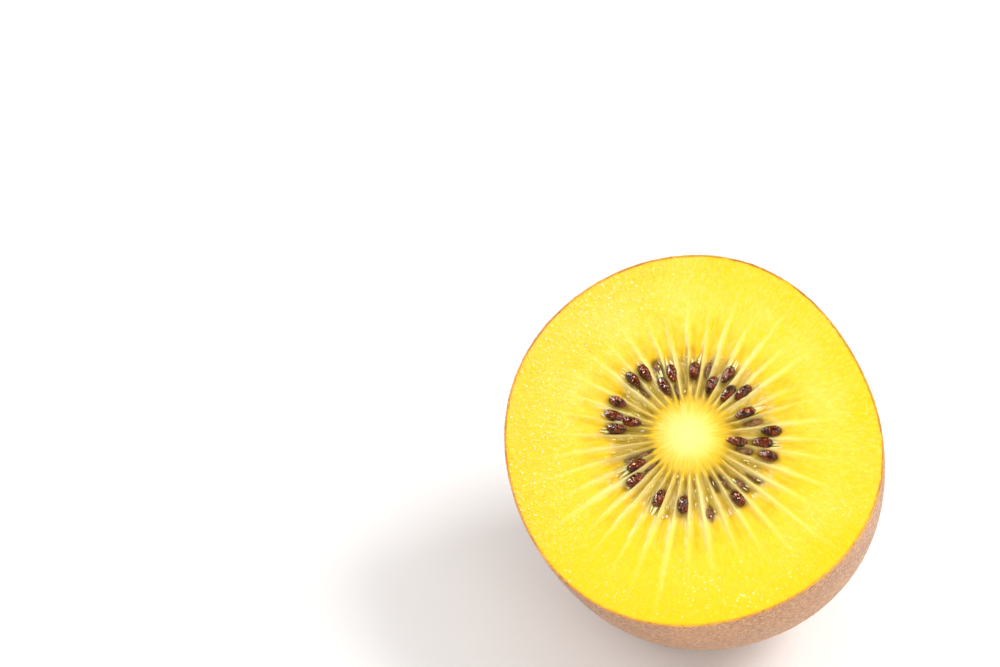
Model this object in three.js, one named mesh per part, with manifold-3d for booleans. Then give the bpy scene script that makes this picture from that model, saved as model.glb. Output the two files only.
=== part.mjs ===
// Half a golden kiwi fruit, cut across its middle and lying on its rounded skin with the cut face
// tilted towards the viewer. Millimetres, +Z up. The origin is the middle of the small flat spot
// that the half rests on.
//
// The half grew as one piece, so it is one solid: skin, flesh and core without a break. The cut face
// carries what a knife shows: the pale core, the walls that fan out between the seed chambers, the
// seeds that stand in those chambers, and the thin edge of the skin. The uncut end has the round
// woody scar of the stalk.
import * as THREE from "three";
import { mergeVertices } from "three/addons/utils/BufferGeometryUtils.js";
import Module from "manifold-3d";

const wasm = await Module();
wasm.setup();

// The half fruit
const MEAN_RADIUS = 25.5; // of the cut face
const WIDEST_HALF_LENGTH = 37; // from the fruit's widest section to its stalk end, before the scar
const CUT_PAST_WIDEST = 0.05; // the knife went past the widest section by this share of that length
const FULLNESS = 2.2; // 2 is an ellipsoid's side, more is fuller
const OVAL = 0.048; // the section is this much longer along one diagonal and shorter along the other
const CORNERS = 0.01; // and has three and four faint rounded corners of this height

// How it lies: the cut face is turned up from the table by TILT about X
const TILT = THREE.MathUtils.degToRad(27);
const FACE_CENTRE = new THREE.Vector3(-0.6, -5.8, 33.3);

// The cut face, by distances from its middle and heights above the cut
const SKIN_EDGE = 0.3; // width of the skin's cut edge
const GROOVE_FROM = 24; // just inside the skin the flesh draws back
const GROOVE_DEPTH = 0.1;
const CORE_RADIUS = 4.7;
const CORE_TOP = 1.5; // the core's crown slopes from here to its edge
const CORE_CROWN = 0.3;
const CHAMBERS = 38;
const CHAMBER_START = 5.6;
const CHAMBER_SHALLOWS = 10.6; // the chambers get shallower from here
const CHAMBER_END = 12.6; // and close here
const CHAMBER_DEPTH = 0.3;
const WALL_HEIGHT = 0.18;
const WALL_END = 19; // the walls fade into the outer flesh here
const FIRST_CHAMBER = THREE.MathUtils.degToRad(4.5);
const WALL_WANDER = 0.16; // each wall stands off its even place by up to this share of a chamber
const STEPS_PER_CHAMBER = 3;
const SEGMENTS = CHAMBERS * STEPS_PER_CHAMBER;
const FACE_RINGS = [24, 22, WALL_END, 16, CHAMBER_END, CHAMBER_SHALLOWS, 8.6, 6.7, CHAMBER_START,
  CORE_RADIUS, 3.2, CORE_TOP];
const SIDE_RINGS = 12;

// The stalk end
const DIMPLE_RADIUS = 6.5;
const DIMPLE_DEPTH = 0.9;
const SCAR_RADIUS = 2.6;
const SCAR_HEIGHT = 0.7;
const SCAR_HOLLOW = 0.35; // the middle of the scar is sunk by this much
const SCAR_LIP = 1.95; // from here to the scar's edge it stands at its full height
const SCAR_RINGS = [4.6, 3.3, SCAR_RADIUS, SCAR_LIP];

// The seeds. Each chamber's word has one letter for each seed that the knife left in it, from row A
// nearest the core to row D: a capital where the seed lies bare, a small letter where it is sunk in
// the flesh. A dash is an empty chamber.
const SEEDS_BY_CHAMBER = (
  "bD AC D b B - C B C B c C - Ca dB D Dc - D DB C - - ba B Ca - - C - C - d b Db c d -"
).split(" ");
const ROW_RADIUS = { a: 6.3, b: 7.9, c: 9.5, d: 10.9 };
const SEED_LENGTH = 2.7;
const SEED_WIDTH = 1.45;
const SEED_THICKNESS = 1.2;
const BARE_LIFT = 0.1; // a bare seed's middle is this far above the cut
const SUNK_LIFT = -0.4;
const BLUNTNESS = 0.15; // the outer half of a seed is thicker and its inner half thinner by this share
const SCATTER = {
  angle: THREE.MathUtils.degToRad(1.6),
  radius: 0.45,
  lift: 0.12,
  turn: 0.5,
  lean: 0.16,
};

// The same few random numbers every time, each from 0 to 1
const RANDOM_START = { walls: 20, seeds: 364747 };
const RANDOM_MULTIPLIER = 16807;
const RANDOM_MODULUS = 2147483647;
function randomNumbers(start) {
  let state = start;
  return () => {
    state = (state * RANDOM_MULTIPLIER) % RANDOM_MODULUS;
    return state / RANDOM_MODULUS;
  };
}

const smooth = (from, to, x) => THREE.MathUtils.smoothstep(x, from, to);

// Radius of a cross-section, as a share of its mean, at an angle about the fruit's axis
function section(angle) {
  return 1 - OVAL * Math.sin(2 * angle) + CORNERS * (Math.cos(3 * angle) + Math.cos(4 * angle));
}

// The angle of the wall before each chamber, and of the first one again at the end
const walls = [];
const wallRandom = randomNumbers(RANDOM_START.walls);
for (let k = 0; k <= CHAMBERS; k++) {
  const wander = k < CHAMBERS ? (2 * wallRandom() - 1) * WALL_WANDER : 0;
  walls.push(FIRST_CHAMBER + ((k - 0.5 + wander) * 2 * Math.PI) / CHAMBERS);
}
walls[CHAMBERS] = walls[0] + 2 * Math.PI;

// The outline that is turned about the axis: [radius, height] from the stalk scar, round the side,
// over the skin's edge and across the cut face to the middle
function outline() {
  const points = [];
  const length = WIDEST_HALF_LENGTH;
  const share = (t) => Math.pow(1 - Math.pow(t, FULLNESS), 1 / FULLNESS);
  const rimShare = share(CUT_PAST_WIDEST);
  const sideHeight = (radius) => {
    const t = Math.pow(1 - Math.pow((radius / MEAN_RADIUS) * rimShare, FULLNESS), 1 / FULLNESS);
    return -(t - CUT_PAST_WIDEST) * length;
  };
  const dimple = (radius) => DIMPLE_DEPTH * (1 - smooth(0, DIMPLE_RADIUS, radius));
  const scar = (radius) =>
    radius > SCAR_RADIUS ? 0 : -SCAR_HEIGHT + SCAR_HOLLOW * (1 - smooth(0, SCAR_LIP, radius));
  points.push([0, sideHeight(0) + dimple(0) + scar(0)]);
  for (const radius of [...SCAR_RINGS].reverse()) {
    points.push([radius, sideHeight(radius) + dimple(radius) + scar(radius)]);
  }
  // round the side by even turns from the dimple's edge to the rim
  const firstTurn = Math.acos(DIMPLE_RADIUS / MEAN_RADIUS);
  for (let k = 0; k < SIDE_RINGS; k++) {
    const radius = MEAN_RADIUS * Math.cos(firstTurn * (1 - k / SIDE_RINGS));
    points.push([radius, sideHeight(radius)]);
  }
  points.push([MEAN_RADIUS, 0]);
  points.push([MEAN_RADIUS - SKIN_EDGE, 0]);
  for (const radius of FACE_RINGS) points.push([radius, 0]);
  points.push([0, 0]);
  return points.map(([radius, height]) => new THREE.Vector2(radius, height));
}

// Height of the cut face's relief above the cut, at a distance from the middle. wallness is 1 on a
// wall between two chambers and 0 in the middle of a chamber.
function relief(radius, wallness) {
  if (radius > MEAN_RADIUS - SKIN_EDGE - 0.01) return 0;
  const groove = -GROOVE_DEPTH * smooth(GROOVE_FROM, MEAN_RADIUS - SKIN_EDGE, radius);
  const core = CORE_CROWN * (1 - smooth(CORE_TOP, CHAMBER_START, radius));
  const outsideCore = smooth(CORE_RADIUS, CHAMBER_START, radius);
  const chamber = outsideCore * (1 - smooth(CHAMBER_SHALLOWS, CHAMBER_END, radius));
  const wall = outsideCore * (1 - smooth(CHAMBER_END, WALL_END, radius));
  return groove + core + WALL_HEIGHT * wallness * wall - CHAMBER_DEPTH * (1 - wallness) * chamber;
}

// A closed geometry as a solid, its doubled vertices merged and its empty triangles dropped
function solidOf(geometry) {
  const bare = geometry.clone();
  bare.deleteAttribute("normal");
  bare.deleteAttribute("uv");
  const merged = mergeVertices(bare, 1e-4);
  const source = merged.index.array;
  const kept = [];
  for (let i = 0; i < source.length; i += 3) {
    const [a, b, c] = [source[i], source[i + 1], source[i + 2]];
    if (a !== b && b !== c && c !== a) kept.push(a, b, c);
  }
  return new wasm.Manifold(
    new wasm.Mesh({
      numProp: 3,
      vertProperties: merged.attributes.position.array,
      triVerts: new Uint32Array(kept),
    }),
  );
}

function geometryOf(solid) {
  const mesh = solid.getMesh();
  const points = new Float32Array(mesh.numVert * 3);
  for (let i = 0; i < mesh.numVert; i++) {
    points.set(mesh.vertProperties.subarray(i * mesh.numProp, i * mesh.numProp + 3), i * 3);
  }
  const geometry = new THREE.BufferGeometry();
  geometry.setAttribute("position", new THREE.BufferAttribute(points, 3));
  geometry.setIndex(new THREE.BufferAttribute(mesh.triVerts, 1));
  geometry.computeVertexNormals();
  return geometry;
}

// The half without its seeds: the turned outline, with its angles drawn to the walls, its section
// made oval and the face's relief raised
function bodyGeometry() {
  const profile = outline();
  const geometry = new THREE.LatheGeometry(profile, SEGMENTS);
  const position = geometry.attributes.position;
  const point = new THREE.Vector3();
  const rings = profile.length;
  const firstFaceRing = rings - FACE_RINGS.length - 1;
  for (let step = 0; step <= SEGMENTS; step++) {
    const chamber = Math.floor((step % SEGMENTS) / STEPS_PER_CHAMBER);
    const across = ((step % SEGMENTS) % STEPS_PER_CHAMBER) / STEPS_PER_CHAMBER;
    const angle = THREE.MathUtils.lerp(walls[chamber], walls[chamber + 1], across);
    const wallness = Math.abs(2 * across - 1) ** 2;
    for (let ring = 0; ring < rings; ring++) {
      const { x: radius, y: height } = profile[ring];
      const raised = ring >= firstFaceRing ? relief(radius, wallness) : 0;
      const grown = radius * section(angle);
      point.set(grown * Math.cos(angle), grown * Math.sin(angle), height + raised);
      position.setXYZ(step * rings + ring, point.x, point.y, point.z);
    }
  }
  return geometry;
}

// One seed: a flattened drop, its blunt end outwards and its pointed end to the core
function seedGeometry(angle, radius, lift, turn, lean) {
  const geometry = new THREE.SphereGeometry(1, 8, 6);
  const position = geometry.attributes.position;
  for (let i = 0; i < position.count; i++) {
    const along = position.getY(i);
    const girth = 1 + BLUNTNESS * along;
    position.setXYZ(
      i,
      (along * SEED_LENGTH) / 2,
      (position.getX(i) * girth * SEED_WIDTH) / 2,
      (position.getZ(i) * girth * SEED_THICKNESS) / 2,
    );
  }
  // laying the sphere's axis along X by swapping X and Y turned it inside out
  const index = geometry.index.array;
  for (let i = 0; i < index.length; i += 3) [index[i + 1], index[i + 2]] = [index[i + 2], index[i + 1]];
  geometry.rotateX(turn);
  geometry.rotateY(lean);
  geometry.translate(radius, 0, lift);
  geometry.rotateZ(angle);
  return geometry;
}

// All seeds by the chambers' words, with a little seeded scatter in place, turn and lean
function seedSolids() {
  const random = randomNumbers(RANDOM_START.seeds);
  const spread = (size) => (2 * random() - 1) * size;
  const seeds = [];
  SEEDS_BY_CHAMBER.forEach((word, chamber) => {
    if (word === "-") return;
    for (const letter of word) {
      const row = letter.toLowerCase();
      const bare = letter !== row;
      const middle = (walls[chamber] + walls[chamber + 1]) / 2;
      const angle = middle + spread(SCATTER.angle);
      const radius = ROW_RADIUS[row] + spread(SCATTER.radius);
      const lift = (bare ? BARE_LIFT : SUNK_LIFT) + spread(SCATTER.lift);
      const turn = spread(SCATTER.turn);
      const lean = spread(SCATTER.lean);
      seeds.push(solidOf(seedGeometry(angle, radius, lift, turn, lean)));
    }
  });
  return seeds;
}

// The table that the ripe fruit has flattened itself against: all that would lie below z = 0
function tableSolid() {
  const size = 4 * MEAN_RADIUS;
  const block = new THREE.BoxGeometry(size, size, size).translate(0, 0, -size / 2);
  return solidOf(block);
}

function kiwiHalf() {
  let solid = solidOf(bodyGeometry());
  for (const seed of seedSolids()) solid = solid.add(seed);
  // two seeds that touch can close off an empty pocket below them: only the outer body is kept
  [solid] = solid.decompose().sort((one, other) => other.volume() - one.volume());
  const lying = geometryOf(solid);
  lying.rotateX(TILT);
  lying.translate(FACE_CENTRE.x, FACE_CENTRE.y, FACE_CENTRE.z);
  const geometry = geometryOf(solidOf(lying).subtract(tableSolid()));
  const material = new THREE.MeshStandardMaterial({ color: 0xf2cf1d, roughness: 0.45, metalness: 0 });
  const mesh = new THREE.Mesh(geometry, material);
  mesh.name = "kiwi_half";
  return mesh;
}

const kiwi = new THREE.Group();
kiwi.name = "golden_kiwi_half";
kiwi.add(kiwiHalf());

export default kiwi;
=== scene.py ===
"""Half a golden kiwi fruit, cut across its middle, on a pale table in soft studio light."""

import math

import bpy
import numpy as np
from mathutils import Matrix, Vector, noise


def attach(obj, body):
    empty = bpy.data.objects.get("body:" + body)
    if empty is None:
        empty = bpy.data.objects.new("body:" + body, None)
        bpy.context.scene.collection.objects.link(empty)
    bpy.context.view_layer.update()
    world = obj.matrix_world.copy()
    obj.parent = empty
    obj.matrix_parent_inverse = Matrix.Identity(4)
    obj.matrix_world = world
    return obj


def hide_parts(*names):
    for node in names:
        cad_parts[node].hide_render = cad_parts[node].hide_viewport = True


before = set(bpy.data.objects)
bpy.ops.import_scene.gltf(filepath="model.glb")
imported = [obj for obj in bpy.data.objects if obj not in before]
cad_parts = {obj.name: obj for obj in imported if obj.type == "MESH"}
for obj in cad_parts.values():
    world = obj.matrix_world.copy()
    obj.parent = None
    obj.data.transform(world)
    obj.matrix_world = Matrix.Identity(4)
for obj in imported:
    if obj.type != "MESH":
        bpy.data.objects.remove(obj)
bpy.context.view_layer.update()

MM = 0.001

# The half fruit, in millimetres, in its own frame: the cut face at height 0, the stalk end below
MEAN_RADIUS = 25.5
WIDEST_HALF_LENGTH = 37
CUT_PAST_WIDEST = 0.05
FULLNESS = 2.2
OVAL = 0.048
CORNERS = 0.01
TILT = math.radians(27)
FACE_CENTRE = Vector((-0.6, -5.8, 33.3))

# The cut face
SKIN_THICKNESS = 0.25
FLESH_IN_SKIN = 0.1
GROOVE_FROM = 24
GROOVE_DEPTH = 0.02
CORE_RADIUS = 4.7
CORE_TOP = 1.5
CORE_CROWN = 0.3
CHAMBERS = 38
CHAMBER_TURN = 2 * math.pi / CHAMBERS
CHAMBER_START = 6.4
CHAMBER_SHALLOWS = 10.6
CHAMBER_END = 12.6
CHAMBER_DEPTH = 0.38
WALL_HEIGHT = 0.16
WALL_BREADTH = 0.24
WALL_END = 19
FIRST_CHAMBER = math.radians(4.5)
WALL_WANDER = 0.16
UNEVEN_SIZE = 0.9
UNEVEN_FACE = 0.06
UNEVEN_CHAMBERS = 0.6

# The skin and the stalk end
SKIN_BUMP_SIZE = 0.45
SKIN_BUMPS = 0.14
EDGE_ROUNDING = (0.06, 0.03)
DIMPLE_RADIUS = 6.5
DIMPLE_DEPTH = 0.9
SCAR_RADIUS = 2.6
SCAR_HEIGHT = 0.7
SCAR_HOLLOW = 0.35
SCAR_LIP = 1.95
STALK_END_RINGS = (0, 0.5, 1, 1.5, SCAR_LIP, 2.3, SCAR_RADIUS, 2.75, 3.2, 4, 5, 5.8)

# The seeds, by chamber: rows A to D from the core outwards, a capital where the seed lies bare
SEEDS_BY_CHAMBER = (
    "bD AC D b B - C B C B c C - Ca dB D Dc - D DB C - - ba B Ca - - C - C - d b Db c d -"
).split(" ")
ROW_RADIUS = {"a": 6.3, "b": 7.9, "c": 9.5, "d": 10.9}
SEED_LENGTH = 2.7
SEED_WIDTH = 1.4
SEED_THICKNESS = 1.2
SEED_PIT_SIZE = 0.34
SEED_PIT_DEPTH = 0.15
BARE_LIFT = 0.1
SUNK_LIFT = -0.85
SUNK_VEIL = 0.75
BLUNTNESS = 0.15
# How far the painted shade round each seed reaches, in seed sizes
SHADE_HALO_REACH = 1.35
HIDDEN_FADES = (0.6, 1.4)
MARKS_DOWN_TO = -2
SCATTER = {"angle": math.radians(1.6), "radius": 0.45, "lift": 0.12, "turn": 0.5, "lean": 0.16}

# The clear gel: wisps at the tips of bare seeds, most of them in one part of the ring, and glints
WISPY_PART = (math.radians(105), math.radians(205))
WISP_CHANCE_IN_PART = 0.9
WISP_CHANCE_ELSEWHERE = 0.15
WISPS = 3
WISP_LENGTH = (1.0, 2.4)
WISP_WIDTH = (0.16, 0.36)
WISP_THICKNESS = 0.24
GLINTS = 130
GLINT_PART = (math.radians(100), math.radians(360))
GLINT_RADIUS = (5.6, 12.2)
GLINT_LENGTH = (0.2, 0.8)
GLINT_WIDTH = (0.12, 0.24)
GLINT_THICKNESS = 0.2

# Fineness of the meshes, the rings of the cut face given from where, to where and how many
FACE_STEPS = CHAMBERS * 16
SKIN_STEPS = CHAMBERS * 12
SIDE_ROWS = 150
HIDDEN_ROWS = 40
CORE_RINGS = (0, 4, 12)
CHAMBER_RINGS = (4, 14, 64)
OUTER_RINGS = 56
SEED_SEGMENTS = 48
SEED_RINGS = 30
DROP_SEGMENTS = 8
DROP_RINGS = 6
SAME_PLACE = 0.001

# Where the colours of the cut face come and go, in millimetres from the axis
CORE_FADES = (3.9, 5.4)
CHAMBERS_BEGIN = (4.4, 6.2)
CHAMBERS_FADE = (9.5, 12.5)
AMBER_FADES = (11.5, 17.5)
RAYS_WIDEN = (4, 11)
RAYS_NARROW = (12, 19)
RAYS_FADE = (8, 18)
TORN_FROM = (12, 19)
GLINT_FLECKS_FROM = (14, 18)
RIM_DEEPENS = (19.5, 24.5)
RIM_TURNS_ORANGE = (24.9, 25.4)

# And in millimetres across the half from its axis: to the right, and to the back
TORN_SIDE = (-18, -4)
FRONT_FADES = (-20, 10)

RANDOM_START = {"walls": 20, "seeds": 364747, "gel": 22}
RANDOM_MULTIPLIER = 16807
RANDOM_MODULUS = 2147483647

# The camera, in millimetres from the middle of the cut face, and the lens that fits the photo
CAMERA_FROM_FACE = Vector((93.3, -230.1, 217.4))
CAMERA_AZIMUTH = math.radians(27.74)
CAMERA_ELEVATION = math.radians(39.03)
LENS = 91.31
SENSOR_WIDTH = 36

# The table and the room
TABLE_SIZE = 6
TABLE_COLOUR = (0.9, 0.884, 0.868, 1)
ROOM_BRIGHTNESS = 0.73


def random_numbers(start):
    """The same few random numbers every time, each from 0 to 1."""
    state = start
    while True:
        state = state * RANDOM_MULTIPLIER % RANDOM_MODULUS
        yield state / RANDOM_MODULUS


def smooth(start, end, x):
    """0 before start, 1 after end, and a smooth step between."""
    t = np.clip((x - start) / (end - start), 0, 1)
    return t * t * (3 - 2 * t)


def section(angle):
    """Radius of a cross-section, as a share of its mean, at an angle about the fruit's axis."""
    return 1 - OVAL * np.sin(2 * angle) + CORNERS * (np.cos(3 * angle) + np.cos(4 * angle))


def wall_angles():
    """The angle of the wall before each chamber, and of the first one again at the end."""
    draw = random_numbers(RANDOM_START["walls"])
    angles = []
    for k in range(CHAMBERS):
        wander = (2 * next(draw) - 1) * WALL_WANDER
        angles.append(FIRST_CHAMBER + (k - 0.5 + wander) * CHAMBER_TURN)
    return angles + [angles[0] + 2 * math.pi]


WALLS = np.array(wall_angles())


def chamber_phase(angle):
    """How many chambers lie between the first wall and an angle: whole numbers are walls."""
    turned_on = np.mod(angle - WALLS[0], 2 * math.pi) + WALLS[0]
    return np.interp(turned_on, WALLS, np.arange(CHAMBERS + 1))


def side_height(radius):
    """Height of the round side at a distance from the axis, in the fruit's own frame."""
    rim_share = (1 - CUT_PAST_WIDEST**FULLNESS) ** (1 / FULLNESS)
    t = (1 - (radius / MEAN_RADIUS * rim_share) ** FULLNESS) ** (1 / FULLNESS)
    dimple = DIMPLE_DEPTH * (1 - smooth(0, DIMPLE_RADIUS, radius))
    return -(t - CUT_PAST_WIDEST) * WIDEST_HALF_LENGTH + dimple


def inner_side(inner):
    """The side's outline moved in, from the cut edge down to the axis, its radius inner at the cut."""
    gap = MEAN_RADIUS - inner
    share = 1 - gap / MEAN_RADIUS
    outline = []
    for turn in np.linspace(0, math.pi / 2, HIDDEN_ROWS)[1:]:
        radius = MEAN_RADIUS * math.cos(turn)
        outline.append((radius * share, side_height(radius) + gap * math.sin(turn)))
    outline[-1] = (0, outline[-1][1])
    return outline


# Modelling

def only(piece):
    """Makes piece the one selected and active object."""
    bpy.ops.object.select_all(action="DESELECT")
    piece.select_set(True)
    bpy.context.view_layer.objects.active = piece
    return piece


def turned(name, outline, steps):
    """A closed piece turned about the axis from an outline of (radius, height) points, in millimetres."""
    bpy.ops.object.select_all(action="DESELECT")
    bpy.ops.mesh.primitive_circle_add(vertices=3, radius=MM)
    piece = bpy.context.active_object
    piece.name = piece.data.name = name
    bpy.ops.object.mode_set(mode="EDIT")
    bpy.ops.mesh.select_all(action="SELECT")
    bpy.ops.mesh.merge(type="CENTER")
    at = Vector((outline[0][0], 0, outline[0][1])) * MM
    bpy.ops.transform.translate(value=at)
    for radius, height in outline[1:]:
        there = Vector((radius, 0, height)) * MM
        bpy.ops.mesh.extrude_region_move(TRANSFORM_OT_translate={"value": there - at})
        at = there
    bpy.ops.object.mode_set(mode="OBJECT")
    bpy.ops.object.transform_apply()
    bpy.ops.object.modifier_add(type="SCREW")
    screw = piece.modifiers[-1]
    screw.steps = screw.render_steps = steps
    screw.use_merge_vertices = True
    screw.merge_threshold = 2e-6
    bpy.ops.object.modifier_apply(modifier=screw.name)
    bpy.ops.object.mode_set(mode="EDIT")
    bpy.ops.mesh.select_all(action="SELECT")
    bpy.ops.mesh.normals_make_consistent(inside=False)
    bpy.ops.object.mode_set(mode="OBJECT")
    return piece


def ball(name, segments, rings, radius):
    """A round start for a seed or a drop."""
    bpy.ops.object.select_all(action="DESELECT")
    bpy.ops.mesh.primitive_uv_sphere_add(segments=segments, ring_count=rings, radius=radius * MM)
    piece = bpy.context.active_object
    piece.name = name
    return piece


def copy_of(first, stand):
    """A copy of first with its own mesh, moved by the matrix stand."""
    only(first)
    bpy.ops.object.duplicate()
    copy = bpy.context.active_object
    copy.data.transform(stand)
    return copy


def joined(name, first, copies):
    """One piece made of the copies, without the first that they were copied from."""
    bpy.data.objects.remove(first)
    only(copies[0])
    for copy in copies:
        copy.select_set(True)
    bpy.ops.object.join()
    piece = bpy.context.active_object
    piece.name = piece.data.name = name
    return piece


def points_of(piece):
    """The piece's vertices as rows of x, y, z, in millimetres."""
    flat = np.zeros(len(piece.data.vertices) * 3)
    piece.data.vertices.foreach_get("co", flat)
    return flat.reshape(-1, 3) / MM


def set_points(piece, points):
    piece.data.vertices.foreach_set("co", (points * MM).ravel())
    piece.data.update()


def at_face(angle, radius, lift):
    """The matrix to a place by angle, distance from the axis and height over the cut, X outwards."""
    return Matrix.Rotation(angle, 4, "Z") @ Matrix.Translation(Vector((radius, 0, lift)) * MM)


def lay_down(piece, inside=0):
    """Takes a piece from the fruit's own frame to where the half lies, flat where it meets the table.

    inside says, for the piece or for each point, how far in from the fruit's outside it stays.
    """
    piece.data.transform(Matrix.Translation(FACE_CENTRE * MM) @ Matrix.Rotation(TILT, 4, "X"))
    points = points_of(piece)
    points[:, 2] = np.maximum(points[:, 2], inside)
    set_points(piece, points)


def map_growth(piece):
    """A UV map that follows the growth: chambers round the axis, and distance from it."""
    mesh = piece.data
    corner_vertex = np.zeros(len(mesh.loops), int)
    mesh.loops.foreach_get("vertex_index", corner_vertex)
    face_size = np.zeros(len(mesh.polygons), int)
    mesh.polygons.foreach_get("loop_total", face_size)
    face_of_corner = np.repeat(np.arange(len(face_size)), face_size)
    corner = points_of(piece)[corner_vertex]
    middle = np.zeros((len(face_size), 3))
    np.add.at(middle, face_of_corner, corner)
    angle = np.arctan2(corner[:, 1], corner[:, 0])
    middle_angle = np.arctan2(middle[:, 1], middle[:, 0])[face_of_corner]
    phase = chamber_phase(angle)
    middle_phase = chamber_phase(middle_angle)
    radius = np.hypot(corner[:, 0], corner[:, 1])
    on_axis = radius < 1e-3
    phase = np.where(on_axis, middle_phase, phase)
    phase += CHAMBERS * np.round((middle_phase - phase) / CHAMBERS)
    share = radius / section(angle) / MEAN_RADIUS
    layer = mesh.uv_layers.new(name="growth")
    layer.data.foreach_set("uv", np.column_stack([phase / CHAMBERS, share]).ravel())


def roughen(piece, name, kind, size, strength, **settings):
    """Moves the surface in and out by a procedural texture, sizes in millimetres."""
    texture = bpy.data.textures.new(name, kind)
    texture.noise_scale = size * MM
    for key, value in settings.items():
        setattr(texture, key, value)
    only(piece)
    bpy.ops.object.modifier_add(type="DISPLACE")
    displace = piece.modifiers[-1]
    displace.texture = texture
    displace.texture_coords = "LOCAL"
    displace.strength = strength * MM
    displace.mid_level = 0.5
    bpy.ops.object.modifier_apply(modifier=displace.name)


def mark(piece, name, values):
    """Gives every point of the piece a value that its material can read."""
    attribute = piece.data.attributes.new(name, "FLOAT", "POINT")
    attribute.data.foreach_set("value", values)


def finish_piece(piece, material):
    """Gives a piece its material and smooth shading, hangs it from the root body and hides the imported
    part kiwi_half.
    """
    piece.data.materials.clear()
    piece.data.materials.append(material)
    only(piece)
    bpy.ops.object.shade_smooth()
    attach(piece, "root")
    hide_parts("kiwi_half")


# Shading

class Value:
    """A link in a material. Arithmetic on it adds Math nodes."""

    def __init__(self, paint, socket):
        self.paint = paint
        self.socket = socket

    def math(self, operation, *others, first=None):
        values = {0: self if first is None else first}
        for index, other in enumerate(others, 1):
            values[index] = other
        return self.paint.node("ShaderNodeMath", {"operation": operation}, values)

    def __add__(self, other):
        return self.math("ADD", other)

    def __sub__(self, other):
        return self.math("SUBTRACT", other)

    def __rsub__(self, other):
        return self.math("SUBTRACT", self, first=other)

    def __mul__(self, other):
        return self.math("MULTIPLY", other)

    def __truediv__(self, other):
        return self.math("DIVIDE", other)

    def __pow__(self, other):
        return self.math("POWER", other)

    __radd__ = __add__

    def step(self, start, end):
        """0 before start, 1 after end, and a smooth step between."""
        settings = {"interpolation_type": "SMOOTHSTEP"}
        values = {"Value": self, "From Min": start, "From Max": end, "To Min": 0.0, "To Max": 1.0}
        return self.paint.node("ShaderNodeMapRange", settings, values)

    def halves(self):
        """A noise's low half as 0 and its high half as 1, with a soft change between."""
        return self.step(0.35, 0.65)


class Paint:
    """One material and its nodes."""

    def __init__(self, name):
        self.material = bpy.data.materials.new(name)
        self.material.use_nodes = True
        self.tree = self.material.node_tree
        self.tree.nodes.clear()

    def node(self, kind, settings=None, values=None, output=0):
        made = self.tree.nodes.new(kind)
        for key, value in (settings or {}).items():
            if key == "stops":
                self.set_stops(made.color_ramp.elements, value)
            else:
                setattr(made, key, value)
        for key, value in (values or {}).items():
            if isinstance(value, Value):
                self.tree.links.new(value.socket, made.inputs[key])
            else:
                made.inputs[key].default_value = value
        return Value(self, made.outputs[output]) if made.outputs else None

    @staticmethod
    def set_stops(elements, stops):
        while len(elements) < len(stops):
            elements.new(1)
        for element, (position, colour_there) in zip(elements, stops):
            element.position = position
            element.color = colour_there

    def mix(self, share, first, second):
        values = {0: share, 6: first, 7: second}
        return self.node("ShaderNodeMix", {"data_type": "RGBA"}, values, output=2)

    def ramp(self, share, stops):
        return self.node("ShaderNodeValToRGB", {"stops": stops}, {"Fac": share})

    def part(self, vector, axis):
        return self.node("ShaderNodeSeparateXYZ", {}, {"Vector": vector}, output=axis)

    def marked(self, name):
        """What mark() gave the point."""
        return self.node("ShaderNodeAttribute", {"attribute_name": name}, {}, output="Fac")

    def noise(self, vector, size, detail=2.0, roughness=0.5):
        """Soft noise from 0 to 1 whose blobs are about size millimetres across."""
        values = {"Vector": vector, "Scale": 1 / (size * MM), "Detail": detail, "Roughness": roughness}
        return self.node("ShaderNodeTexNoise", {"normalize": True}, values)

    def streaks(self, across, along, detail):
        """Noise over two values, with one blob or so in every whole step of each."""
        run = {"X": across, "Y": along, "Z": 0.0}
        drawn = {"Vector": self.node("ShaderNodeCombineXYZ", {}, run), "Scale": 1.0, "Detail": detail}
        return self.node("ShaderNodeTexNoise", {"normalize": True}, drawn)

    def chance(self, number):
        """A random value from 0 to 1 for each whole number."""
        return self.node("ShaderNodeTexWhiteNoise", {"noise_dimensions": "1D"}, {"W": number})

    def place(self):
        """Where a point is, in the fruit's own frame, in metres."""
        upright = Matrix.Rotation(-TILT, 3, "X")
        values = {
            "Vector": self.node("ShaderNodeTexCoord", output="Object"),
            "Location": -(upright @ FACE_CENTRE) * MM,
            "Rotation": (-TILT, 0, 0),
        }
        return self.node("ShaderNodeMapping", {"vector_type": "POINT"}, values)

    def growth(self):
        """Chambers round the axis, and distance from it in millimetres."""
        grown = self.node("ShaderNodeUVMap", {"uv_map": "growth"})
        return self.part(grown, "X") * CHAMBERS, self.part(grown, "Y") * MEAN_RADIUS

    def cells(self, vector, size, output="Distance"):
        """Voronoi cells about size millimetres across: the distance to each one's middle, or its colour."""
        values = {"Vector": vector, "Scale": 1 / (size * MM)}
        return self.node("ShaderNodeTexVoronoi", {"feature": "F1"}, values, output=output)

    def spots(self, vector, every, least, most, rarity):
        """Round spots, at most one in each cell of every mm, their sizes from least to most of a cell."""
        draw = self.cells(vector, every, output="Color")
        reach = draw**rarity * (most - least) + least
        return 1 - (self.cells(vector, every) / reach).step(0.6, 1.3)

    def bump(self, height, depth, strength=1.0, under=None):
        values = {"Height": height, "Distance": depth * MM, "Strength": strength}
        if under is not None:
            values["Normal"] = under
        return self.node("ShaderNodeBump", {}, values)

    def surface(self, **values):
        """The shader itself. Underscores in a socket's name stand for spaces."""
        named = {key.replace("_", " "): value for key, value in values.items()}
        shader = self.node("ShaderNodeBsdfPrincipled", {}, named)
        self.node("ShaderNodeOutputMaterial", {}, {"Surface": shader})
        return self.material


def colour(red, green, blue):
    """A colour as it looks on a screen, 0 to 255, as the shader's own light values."""

    def light(part):
        share = part / 255
        return share / 12.92 if share <= 0.04045 else ((share + 0.055) / 1.055) ** 2.4

    return (light(red), light(green), light(blue), 1.0)


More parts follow.
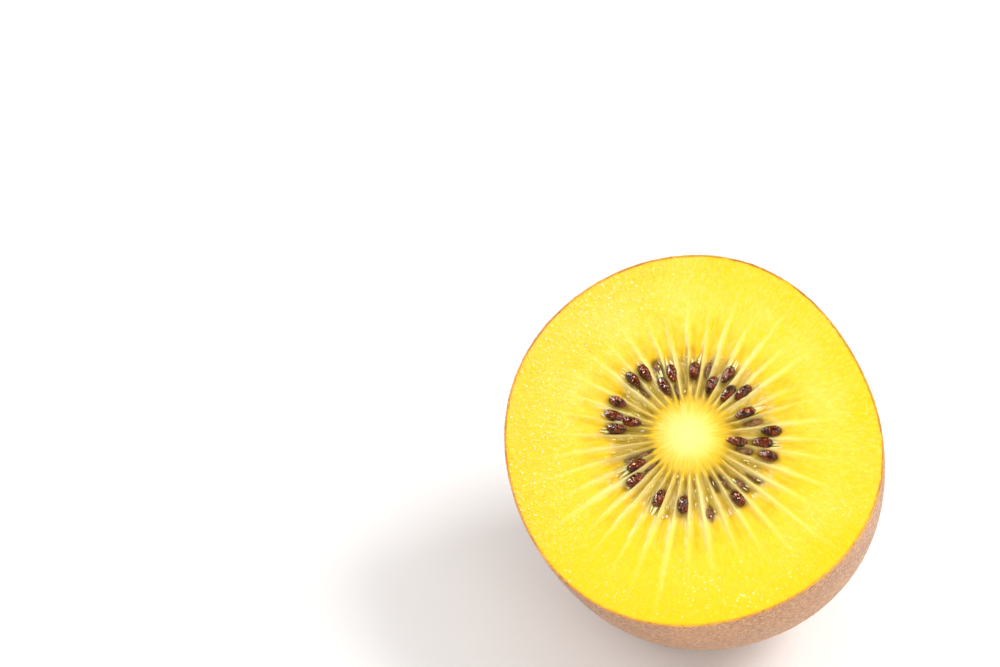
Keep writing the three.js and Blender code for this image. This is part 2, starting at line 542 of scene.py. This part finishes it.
LEMON = colour(240, 210, 34)
PALE_LEMON = colour(242, 217, 80)
FRONT_LEMON = colour(243, 210, 0)
DEEP_LEMON = colour(241, 204, 2)
PALE_GRAIN = colour(247, 230, 122)
AMBER = colour(243, 202, 36)
DARK_AMBER = colour(233, 178, 8)
OLIVE_GOLD = colour(218, 181, 52)
DARK_OLIVE = colour(166, 128, 28)
DULL_OLIVE = colour(202, 173, 72)
PALE_FIBRE = colour(240, 220, 134)
DARK_FIBRE = colour(134, 92, 10)
SEED_HALO_SHADE = colour(112, 76, 10)
# Painted shade round the seeds, where the dark seed also shows through the flesh
SEED_BELOW = colour(104, 70, 24)
# Painted glints, on the torn cells and in the pale flecks
TORN_CELL_GLINT = colour(255, 251, 205)
FLECK_GLINT = colour(255, 250, 200)
ORANGE_RIM = colour(240, 170, 16)

# Along a ray from the axis to the skin, and from the core's middle to its edge
RAY_COLOURS = (
    (0.2, colour(250, 212, 84)),
    (0.3, colour(230, 208, 134)),
    (0.42, colour(241, 222, 146)),
    (0.6, colour(247, 228, 112)),
)
CORE_COLOURS = (
    (0.0, colour(252, 238, 140)),
    (0.45, colour(252, 229, 128)),
    (0.72, colour(250, 215, 88)),
    (1.0, colour(240, 194, 36)),
)

SKIN_BROWN = colour(164, 105, 50)
LIGHT_SKIN_BROWN = colour(190, 127, 66)
TAN_MOTTLE = colour(200, 142, 90)
BROWN_FLECK = colour(122, 76, 40)
DARK_FUZZ = colour(120, 70, 32)
PALE_FUZZ = colour(236, 186, 134)
FRECKLE = colour(236, 188, 136)
DARK_DOT = colour(86, 48, 24)
SCAR_DARK = colour(88, 58, 34)
SCAR_LIGHT = colour(140, 104, 66)
SCAR_RING = colour(124, 82, 46)
CUT_EDGE_DARK = colour(210, 124, 16)
CUT_EDGE_LIGHT = colour(236, 164, 28)

SEED_DARK = colour(40, 9, 1)
SEED_RED_BROWN = colour(116, 38, 6)
# Painted shade in the seeds' pits
SEED_PIT_SHADE = colour(20, 5, 2)
VEILED_SEED_DARK = colour(104, 66, 30)
VEILED_SEED_LIGHT = colour(148, 112, 56)

# The gel's own pale colours; on the glint drops they are painted glints
GEL_AND_GLINT_WHITE = colour(255, 251, 205)
GEL_YELLOW = colour(255, 240, 130)


class FleshPaint(Paint):
    """The flesh's material, with the patterns that its colours are drawn from."""

    def __init__(self):
        super().__init__("ripe_flesh")
        where = self.place()
        self.phase, self.radius = self.growth()
        self.side = self.part(where, "X") / MM
        self.front = 1 - (self.part(where, "Y") / MM).step(*FRONT_FADES)
        self.wobble = self.noise(where, 1.3, detail=3.0) - 0.5
        self.clouds = self.noise(where, 7.0)
        self.grain = self.noise(where, 0.36, detail=3.0, roughness=0.6)
        self.burst_cells_and_glints = self.noise(where, 0.4, detail=2.0)
        self.weave = self.streaks(self.phase * 9.0, self.radius * 0.9, 3.0)
        self.fibres = self.streaks(self.phase * 4.5, self.radius * 0.4, 3.0)
        self.bundles = self.streaks(self.phase * 1.3, self.radius * 0.22, 2.0)
        self.tone = self.streaks(self.phase * 0.22, 0.0, 1.0).halves()
        self.wall_number = self.phase.math("ROUND")
        self.wall_chance = self.chance(self.wall_number)
        self.on_wall = self.near_wall()
        self.in_chamber = self.inside_chambers()
        self.torn_and_glints = self.radius.step(*TORN_FROM) * (1 - self.side.step(*TORN_SIDE) * 0.92)

    def near_wall(self):
        """1 in the middle of each wall between chambers, 0 beside it."""
        across = (self.phase + self.wobble * 0.22).math("FRACT")
        away = (0.5 - (across - 0.5).math("ABSOLUTE")) * self.radius * CHAMBER_TURN
        widening = self.radius.step(*RAYS_WIDEN) * 0.14 - self.radius.step(*RAYS_NARROW) * 0.12
        half_width = (widening + self.wall_chance * 0.12 + 0.12) * (1 + self.front * 0.4)
        return 1 - (away / half_width).step(0.0, 2.0)

    def inside_chambers(self):
        """1 in the ring of chambers, with streaky borders."""
        inner = self.radius + (self.fibres - 0.5) * 3 + (self.bundles - 0.5) * 3
        outer = self.radius + self.wobble * 3 + (self.bundles - 0.5) * 5
        return inner.step(*CHAMBERS_BEGIN) * (1 - outer.step(*CHAMBERS_FADE))

    def outer_flesh(self):
        """Lemon, paler in clouds and grained all over, deepest towards the rim; paler towards the back and
        deeper towards the front, which is painted sheen.
        """
        outer = self.mix(self.clouds.step(0.3, 0.7), LEMON, PALE_LEMON)
        # Painted sheen: the back keeps the paler lemon, the front turns deeper
        outer = self.mix(self.front * 0.7, outer, FRONT_LEMON)
        outer = self.mix(self.radius.step(*RIM_DEEPENS) * 0.6, outer, DEEP_LEMON)
        outer = self.mix(self.weave.step(0.6, 0.35) * 0.3, outer, DEEP_LEMON)
        pale = (self.weave * 0.5 + self.grain * 0.5).step(0.48, 0.66)
        # The pale grain is real grain, thinned towards the front so that the back shows painted sheen
        return self.mix(pale * (0.42 - self.front * 0.27), outer, PALE_GRAIN)

    def amber_ring(self, under):
        """Amber just outside the chambers."""
        amber = self.mix(self.fibres.halves(), DARK_AMBER, AMBER)
        frayed = self.radius + self.wobble * 3 + (self.bundles - 0.5) * 9
        return self.mix((1 - frayed.step(*AMBER_FADES)) * 0.9, under, amber)

    def chambers(self, under):
        """The chambers, olive gold and seen into, with pale and dark fibres."""
        chamber_chance = self.chance(self.phase.math("FLOOR") + 0.5)
        olive = self.mix(chamber_chance * 0.6 + self.tone * 0.4, DARK_OLIVE, OLIVE_GOLD)
        olive = self.mix(self.bundles.step(0.4, 0.6) * 0.6, olive, DULL_OLIVE)
        olive = self.mix(self.fibres.step(0.52, 0.7) * 0.75, olive, PALE_FIBRE)
        olive = self.mix(self.fibres.step(0.45, 0.28) * 0.6, olive, DARK_FIBRE)
        return self.mix(self.in_chamber, under, olive)

    def seed_shadows(self, under):
        """The flesh is darker round the seeds, partly painted shade and partly the dark seed showing
        through, and a sunk seed shows through it.
        """
        pocket = (self.marked("pocket") + self.fibres - 0.5).step(0.15, 1.1)
        hidden = (self.marked("hidden") + (self.fibres - 0.5) * 1.2).step(0.1, 0.9)
        # Painted shade round every seed, with the dark seed also showing through
        shaded = self.mix(pocket * 0.7, under, SEED_HALO_SHADE)
        return self.mix(hidden * 0.8, shaded, SEED_BELOW)

    def rays(self, under):
        """The pale walls between the chambers, which fray and fade outwards."""
        strength = self.wall_chance * 0.4 + 0.2 + self.bundles * 0.4 + self.tone * 0.3
        reach = self.chance(self.wall_number + 7) * 7 + self.front * 2
        fading = (self.radius + self.wobble * 4 - reach).step(*RAYS_FADE)
        pale = self.ramp(self.radius / MEAN_RADIUS, RAY_COLOURS)
        return self.mix(self.on_wall * strength * (1 - fading), under, pale)

    def core(self, under):
        """The core, pale in the middle and streaked with gold at its edge."""
        heart = self.ramp((self.radius + (self.fibres - 0.5) * 4) / CORE_RADIUS, CORE_COLOURS)
        streaky = (self.fibres - 0.5) * 3.5 + (self.bundles - 0.5) * 2.5
        edge = (self.radius - self.on_wall * 0.9 + streaky).step(*CORE_FADES)
        return self.mix(1 - edge, under, heart)

    def cut_marks_and_glints(self, under):
        """Painted glints: on cells torn open by the knife on one side, and as pale flecks towards the
        front.
        """
        torn_and_glints = self.mix(self.burst_cells_and_glints.step(0.6, 0.7) * self.torn_and_glints * 0.7, under, TORN_CELL_GLINT)
        # Painted glints as pale flecks, towards the front only
        flecks = (self.burst_cells_and_glints + (self.clouds - 0.5) * 0.4).step(0.67, 0.75)
        flecks = flecks * self.radius.step(*GLINT_FLECKS_FROM) * self.front
        return self.mix(flecks * 0.8, torn_and_glints, FLECK_GLINT)

    def rim(self, under):
        """Next to the skin the flesh turns orange."""
        orange = (self.radius + self.wobble * 0.4).step(*RIM_TURNS_ORANGE)
        return self.mix(orange * 0.5, under, ORANGE_RIM)

    def wetness(self):
        """The small relief of the cut: grain, torn cells, and fibres in the chambers."""
        relief = self.bump(self.grain * (1 - self.front * 0.7), 0.08, 0.5)
        relief = self.bump(self.burst_cells_and_glints * self.torn_and_glints, 0.35, 0.8, under=relief)
        return self.bump(self.fibres * self.in_chamber, 0.5, 0.8, under=relief)


def flesh_finish():
    paint = FleshPaint()
    painted = paint.outer_flesh()
    painted = paint.amber_ring(painted)
    painted = paint.chambers(painted)
    painted = paint.seed_shadows(painted)
    painted = paint.rays(painted)
    painted = paint.core(painted)
    painted = paint.cut_marks_and_glints(painted)
    painted = paint.rim(painted)
    return paint.surface(
        Base_Color=painted,
        Roughness=0.36 - paint.in_chamber * 0.22,
        Normal=paint.wetness(),
        Subsurface_Weight=0.3,
        Subsurface_Radius=(1.0, 0.7, 0.12),
        Subsurface_Scale=1.2 * MM,
        Specular_IOR_Level=0.21,
        IOR=1.38,
    )


class SkinPaint(Paint):
    """The skin's material, with the patterns that its colours are drawn from."""

    def __init__(self):
        super().__init__("brown_skin")
        where = self.place()
        phase, self.radius = self.growth()
        self.height = self.part(where, "Z") / MM
        self.clouds = self.noise(where, 9.0, detail=3.0)
        self.mottle = self.noise(where, 1.2, detail=3.0)
        self.flecks = self.noise(where, 0.32, detail=2.0)
        self.fuzz = self.streaks(phase * 7.0, (self.height + self.radius) * 4.0, 2.0)
        self.freckles = self.spots(where, 0.5, 0.1, 0.5, 1.0)
        self.dots = self.spots(where, 1.5, 0.0, 0.16, 3.0)
        self.low = 1 - self.height.step(-20, -15)
        self.scar = self.low * (1 - (self.radius + self.flecks * 0.5).step(2.7, 3.1))

    def brown(self):
        """Two browns in clouds, mottled and flecked."""
        brown = self.mix(self.clouds.step(0.3, 0.7), SKIN_BROWN, LIGHT_SKIN_BROWN)
        brown = self.mix(self.mottle.step(0.45, 0.75) * 0.5, brown, TAN_MOTTLE)
        return self.mix(self.flecks.step(0.48, 0.66) * 0.6, brown, BROWN_FLECK)

    def fuzz_and_freckles(self, under):
        """Fine fuzz brushed round the fruit, pale freckles and a few dark dots."""
        painted = self.mix(self.fuzz.step(0.5, 0.36) * 0.6, under, DARK_FUZZ)
        painted = self.mix(self.fuzz.step(0.52, 0.66) * 0.5, painted, PALE_FUZZ)
        painted = self.mix(self.freckles * 0.6, painted, FRECKLE)
        return self.mix(self.dots * 0.8, painted, DARK_DOT)

    def stalk_end(self, under):
        """The woody scar of the stalk, with a darker ring of skin about it."""
        woody = self.mix(self.mottle.halves(), SCAR_DARK, SCAR_LIGHT)
        ring = self.low * (1 - (self.radius + self.mottle * 2).step(2.6, 6.5)) * 0.6
        painted = self.mix(ring, under, SCAR_RING)
        return self.mix(self.scar, painted, woody)

    def cut_edge(self, under):
        """The orange edge, where the skin's section shows."""
        cut = (self.height + self.mottle * 0.12).step(-0.04, 0.05)
        return self.mix(cut, under, self.mix(self.clouds.halves(), CUT_EDGE_DARK, CUT_EDGE_LIGHT))

    def roughness(self):
        """The small relief of the skin."""
        relief = self.bump(self.freckles, 0.16, 0.8)
        relief = self.bump(self.flecks, 0.15, 0.8, under=relief)
        relief = self.bump(self.fuzz, 0.2, 0.8, under=relief)
        return self.bump(self.scar * self.flecks, 0.5, 0.8, under=relief)


def skin_finish():
    paint = SkinPaint()
    painted = paint.brown()
    painted = paint.fuzz_and_freckles(painted)
    painted = paint.stalk_end(painted)
    painted = paint.cut_edge(painted)
    return paint.surface(
        Base_Color=painted,
        Roughness=0.5 - paint.freckles * 0.1 + paint.scar * 0.3,
        Normal=paint.roughness(),
        Sheen_Weight=0.2,
        Sheen_Roughness=0.5,
        IOR=1.45,
    )


def seed_finish():
    """A pitted red-brown coat with painted shade in the pits, duller and paler where a veil of flesh lies
    over the seed.
    """
    paint = Paint("seed_coat")
    where = paint.place()
    veil = paint.marked("veil")
    pits = paint.cells(where, 0.26)
    patches = paint.noise(where, 0.9).halves()
    coat = paint.mix(patches, SEED_DARK, SEED_RED_BROWN)
    # Painted shade: the pits darkened
    coat = paint.mix(pits.step(0.5, 0.15) * 0.5, coat, SEED_PIT_SHADE)
    veiled = paint.mix(patches, VEILED_SEED_DARK, VEILED_SEED_LIGHT)
    return paint.surface(
        Base_Color=paint.mix(veil, coat, veiled),
        Roughness=0.08 + veil * 0.5,
        Normal=paint.bump(pits, 0.13),
        Coat_Weight=0.4 - veil * 0.5,
        Coat_Roughness=0.03,
        Specular_IOR_Level=0.6,
        Specular_Tint=(1.0, 0.55, 0.35, 1.0),
        IOR=1.6,
    )


def gel_finish():
    # Pale gel on the wisps; on the glint drops the pale colour is a painted glint
    paint = Paint("seed_gel_and_glints")
    milk = paint.noise(paint.place(), 0.6)
    return paint.surface(
        Base_Color=paint.mix(milk.halves(), GEL_AND_GLINT_WHITE, GEL_YELLOW),
        Roughness=0.08,
        Normal=paint.bump(milk, 0.15, 0.6),
        Subsurface_Weight=0.2,
        Subsurface_Radius=(1.0, 0.8, 0.3),
        Subsurface_Scale=0.4 * MM,
        Transmission_Weight=0.1,
        IOR=1.38,
    )


# The pieces

def face_relief(x, y):
    """Height of the cut face over its plane: the core's crown, the chambers and their walls."""
    angle = np.arctan2(y, x)
    radius = np.hypot(x, y)
    across = np.mod(chamber_phase(angle), 1)
    from_wall = (0.5 - np.abs(across - 0.5)) * radius * CHAMBER_TURN
    ridge = np.exp(-((from_wall / WALL_BREADTH) ** 2))
    outside_core = smooth(CORE_RADIUS, CHAMBER_START, radius)
    chamber = outside_core * (1 - smooth(CHAMBER_SHALLOWS, CHAMBER_END, radius))
    wall = outside_core * (1 - smooth(CHAMBER_END, WALL_END, radius))
    uneven = np.array([noise.noise(Vector((a, b, 0)) * UNEVEN_SIZE) for a, b in zip(x, y)])
    inner = MEAN_RADIUS - SKIN_THICKNESS + FLESH_IN_SKIN
    relief = -GROOVE_DEPTH * smooth(GROOVE_FROM, inner, radius)
    relief += CORE_CROWN * (1 - smooth(CORE_TOP, CHAMBER_START, radius))
    relief += WALL_HEIGHT * ridge * wall
    relief -= CHAMBER_DEPTH * (1 - ridge) * chamber * (1 + UNEVEN_CHAMBERS * uneven)
    return relief + UNEVEN_FACE * uneven


def flesh():
    """The flesh inside the skin, with the whole relief of its cut face."""
    inner = MEAN_RADIUS - SKIN_THICKNESS + FLESH_IN_SKIN
    core_rings = np.linspace(*CORE_RINGS, endpoint=False)
    chamber_rings = np.linspace(*CHAMBER_RINGS, endpoint=False)
    outer_rings = np.linspace(CHAMBER_RINGS[1], inner, OUTER_RINGS)
    outline = [(radius, 0) for radius in [*core_rings, *chamber_rings, *outer_rings]]
    outline += inner_side(inner)[2::3]
    piece = turned("flesh", outline, FACE_STEPS)
    x, y, z = points_of(piece).T
    on_face = z > -1e-6
    grown = section(np.arctan2(y, x))
    points = np.column_stack([x * grown, y * grown, z + np.where(on_face, face_relief(x, y), 0)])
    set_points(piece, points)
    mark_shade_halos(piece, points)
    map_growth(piece)
    lay_down(piece, SKIN_THICKNESS - FLESH_IN_SKIN)
    finish_piece(piece, flesh_finish())
    return piece


def mark_shade_halos(piece, points):
    """Marks on the flesh: one fades out round every seed, for painted shade where the dark seed also shows
    through; hidden is 1 over a sunk one.
    """
    pocket = np.zeros(len(points))
    hidden = np.zeros(len(points))
    for angle, radius, *_, bare in seed_places():
        along = points[:, 0] * math.cos(angle) + points[:, 1] * math.sin(angle) - radius
        beside = points[:, 1] * math.cos(angle) - points[:, 0] * math.sin(angle)
        away = np.hypot(along / (SEED_LENGTH / 2), beside / (SEED_WIDTH / 2))
        pocket = np.maximum(pocket, np.exp(-((away / SHADE_HALO_REACH) ** 2)))
        if not bare:
            hidden = np.maximum(hidden, 1 - smooth(*HIDDEN_FADES, away))
    below_face = points[:, 2] < MARKS_DOWN_TO
    mark(piece, "pocket", np.where(below_face, 0, pocket))
    mark(piece, "hidden", np.where(below_face, 0, hidden))


def scar_height(radius):
    """How far the woody scar stands out of the stalk end, as a height."""
    if radius > SCAR_RADIUS:
        return 0
    return -SCAR_HEIGHT + SCAR_HOLLOW * (1 - smooth(0, SCAR_LIP, radius))


def skin():
    """The thin skin: a closed shell from the stalk scar to its cut edge."""
    outline = [(radius, side_height(radius) + scar_height(radius)) for radius in STALK_END_RINGS]
    first_turn = math.acos(DIMPLE_RADIUS / MEAN_RADIUS)
    for turn in np.linspace(first_turn, 0, SIDE_ROWS):
        radius = MEAN_RADIUS * math.cos(turn)
        outline.append((radius, side_height(radius)))
    inner = MEAN_RADIUS - SKIN_THICKNESS
    hidden_side = inner_side(inner)
    outline += [(MEAN_RADIUS - EDGE_ROUNDING[0], EDGE_ROUNDING[1]), (inner, 0), *hidden_side]
    piece = turned("skin", outline, SKIN_STEPS)
    x, y, z = points_of(piece).T
    off_side = [np.hypot(np.hypot(x, y) - radius, z - height) for radius, height in hidden_side]
    inside = np.where(np.min(off_side, axis=0) < SAME_PLACE, SKIN_THICKNESS, 0)
    grown = section(np.arctan2(y, x))
    set_points(piece, np.column_stack([x * grown, y * grown, z]))
    roughen(piece, "skin_fuzz", "CLOUDS", SKIN_BUMP_SIZE, SKIN_BUMPS)
    map_growth(piece)
    lay_down(piece, inside)
    finish_piece(piece, skin_finish())
    return piece


def seed_places():
    """Each seed's angle, radius, lift, turn and lean, and whether it lies bare."""
    draw = random_numbers(RANDOM_START["seeds"])

    def spread(key):
        return (2 * next(draw) - 1) * SCATTER[key]

    places = []
    for chamber, word in enumerate(SEEDS_BY_CHAMBER):
        middle = (WALLS[chamber] + WALLS[chamber + 1]) / 2
        for letter in word.strip("-"):
            bare = letter.isupper()
            angle = middle + spread("angle")
            radius = ROW_RADIUS[letter.lower()] + spread("radius")
            lift = (BARE_LIFT if bare else SUNK_LIFT) + spread("lift")
            turn = spread("turn")
            lean = spread("lean")
            places.append((angle, radius, lift, turn, lean, bare))
    return places


def one_seed():
    """A flattened drop with a pitted coat, its blunt end along X."""
    seed = ball("seed", SEED_SEGMENTS, SEED_RINGS, 1)
    x, y, z = points_of(seed).T
    girth = 1 + BLUNTNESS * z
    shaped = [z * SEED_LENGTH / 2, x * girth * SEED_WIDTH / 2, y * girth * SEED_THICKNESS / 2]
    set_points(seed, np.column_stack(shaped))
    roughen(seed, "seed_pits", "VORONOI", SEED_PIT_SIZE, SEED_PIT_DEPTH, distance_metric="DISTANCE")
    return seed


def seeds():
    """All seeds, copied from one, each at its place in its chamber."""
    first = one_seed()
    copies = []
    for angle, radius, lift, turn, lean, bare in seed_places():
        upright = at_face(angle, radius, lift)
        copy = copy_of(first, upright @ Matrix.Rotation(lean, 4, "Y") @ Matrix.Rotation(turn, 4, "X"))
        mark(copy, "veil", np.full(len(copy.data.vertices), 0.0 if bare else SUNK_VEIL))
        copies.append(copy)
    piece = joined("seeds", first, copies)
    lay_down(piece)
    finish_piece(piece, seed_finish())
    return piece


def one_drop():
    """A drop of gel, 1 mm each way, its narrow end along X."""
    drop = ball("drop", DROP_SEGMENTS, DROP_RINGS, 0.5)
    x, y, z = points_of(drop).T
    taper = 1 - 1.1 * np.maximum(z, -0.2)
    set_points(drop, np.column_stack([z, x * taper, y * taper]))
    return drop


def drop_places():
    """Each drop's angle, radius, lift, turn and size: wisps at the tips of seeds, glints between walls."""
    draw = random_numbers(RANDOM_START["gel"])

    def between(low, high):
        return low + (high - low) * next(draw)

    for angle, radius, *_, bare in seed_places():
        in_part = WISPY_PART[0] < angle < WISPY_PART[1]
        wet = between(0, 1) < (WISP_CHANCE_IN_PART if in_part else WISP_CHANCE_ELSEWHERE)
        for k in range(WISPS if bare and wet else 0):
            length = between(*WISP_LENGTH)
            out = radius + SEED_LENGTH * 0.4 + length * 0.3
            size = length, between(*WISP_WIDTH), WISP_THICKNESS
            yield angle + between(-0.05, 0.05), out, between(-0.12, 0.02), between(-0.2, 0.2), size
    for k in range(GLINTS):
        size = between(*GLINT_LENGTH), between(*GLINT_WIDTH), GLINT_THICKNESS
        lying = between(*GLINT_PART), between(*GLINT_RADIUS), between(-0.3, -0.05), between(-0.3, 0.3)
        yield *lying, size


def gel():
    """Clear gel round the seeds in tips, and pale drops as painted glints."""
    first = one_drop()
    copies = []
    for angle, radius, lift, turn, size in drop_places():
        upright = at_face(angle, radius, lift)
        stand = upright @ Matrix.Rotation(turn, 4, "Z") @ Matrix.Diagonal((*size, 1))
        copies.append(copy_of(first, stand))
    piece = joined("gel", first, copies)
    lay_down(piece)
    finish_piece(piece, gel_finish())
    return piece


# The stage

def stage():
    """A pale table in a pale room, which shiny surfaces don't mirror."""
    bpy.ops.object.select_all(action="DESELECT")
    bpy.ops.mesh.primitive_plane_add(size=TABLE_SIZE)
    table = bpy.context.active_object
    table.name = "table"
    table.data.materials.append(Paint("pale_table").surface(Base_Color=TABLE_COLOUR, Roughness=0.7))
    room = bpy.data.worlds.new("room")
    bpy.context.scene.world = room
    room.use_nodes = True
    room.cycles_visibility.glossy = False
    background = room.node_tree.nodes["Background"]
    background.inputs["Color"].default_value = (1, 1, 1, 1)
    background.inputs["Strength"].default_value = ROOM_BRIGHTNESS


def soft_light(name, at, aim, size, power):
    bpy.ops.object.light_add(type="AREA", location=Vector(at))
    lamp = bpy.context.active_object
    lamp.name = name
    lamp.data.size = size
    lamp.data.energy = power
    lamp.rotation_euler = (Vector(aim) - Vector(at)).to_track_quat("-Z", "Y").to_euler()
    return lamp


def lights():
    """Soft light from the right and above, and a glint on wet surfaces from the left."""
    soft_light("key_light", at=(0.42, 0.32, 0.6), aim=(0, 0, 0.02), size=0.4, power=4.4)
    soft_light("fill_light", at=(0.45, -0.45, 0.4), aim=(0, 0, 0.02), size=0.4, power=1.8)
    soft_light("left_light", at=(-0.6, -0.2, 0.5), aim=(0, 0, 0.02), size=0.3, power=0.7)
    glint = soft_light("glint_light", at=(-0.6, 0.0, 0.6), aim=(0, 0, 0.03), size=0.25, power=12)
    glint.visible_diffuse = False


def camera():
    bpy.ops.object.camera_add(location=(FACE_CENTRE + CAMERA_FROM_FACE) * MM)
    cam = bpy.context.active_object
    cam.name = "camera"
    flat = math.cos(CAMERA_ELEVATION)
    back = Vector(
        (math.sin(CAMERA_AZIMUTH) * flat, -math.cos(CAMERA_AZIMUTH) * flat, math.sin(CAMERA_ELEVATION))
    )
    cam.rotation_euler = (-back).to_track_quat("-Z", "Y").to_euler()
    cam.data.lens = LENS
    cam.data.sensor_width = SENSOR_WIDTH
    cam.data.clip_start = 0.01
    bpy.context.scene.camera = cam


camera()
skin()
flesh()
seeds()
gel()
stage()
lights()
bpy.context.scene.view_settings.view_transform = "Standard"
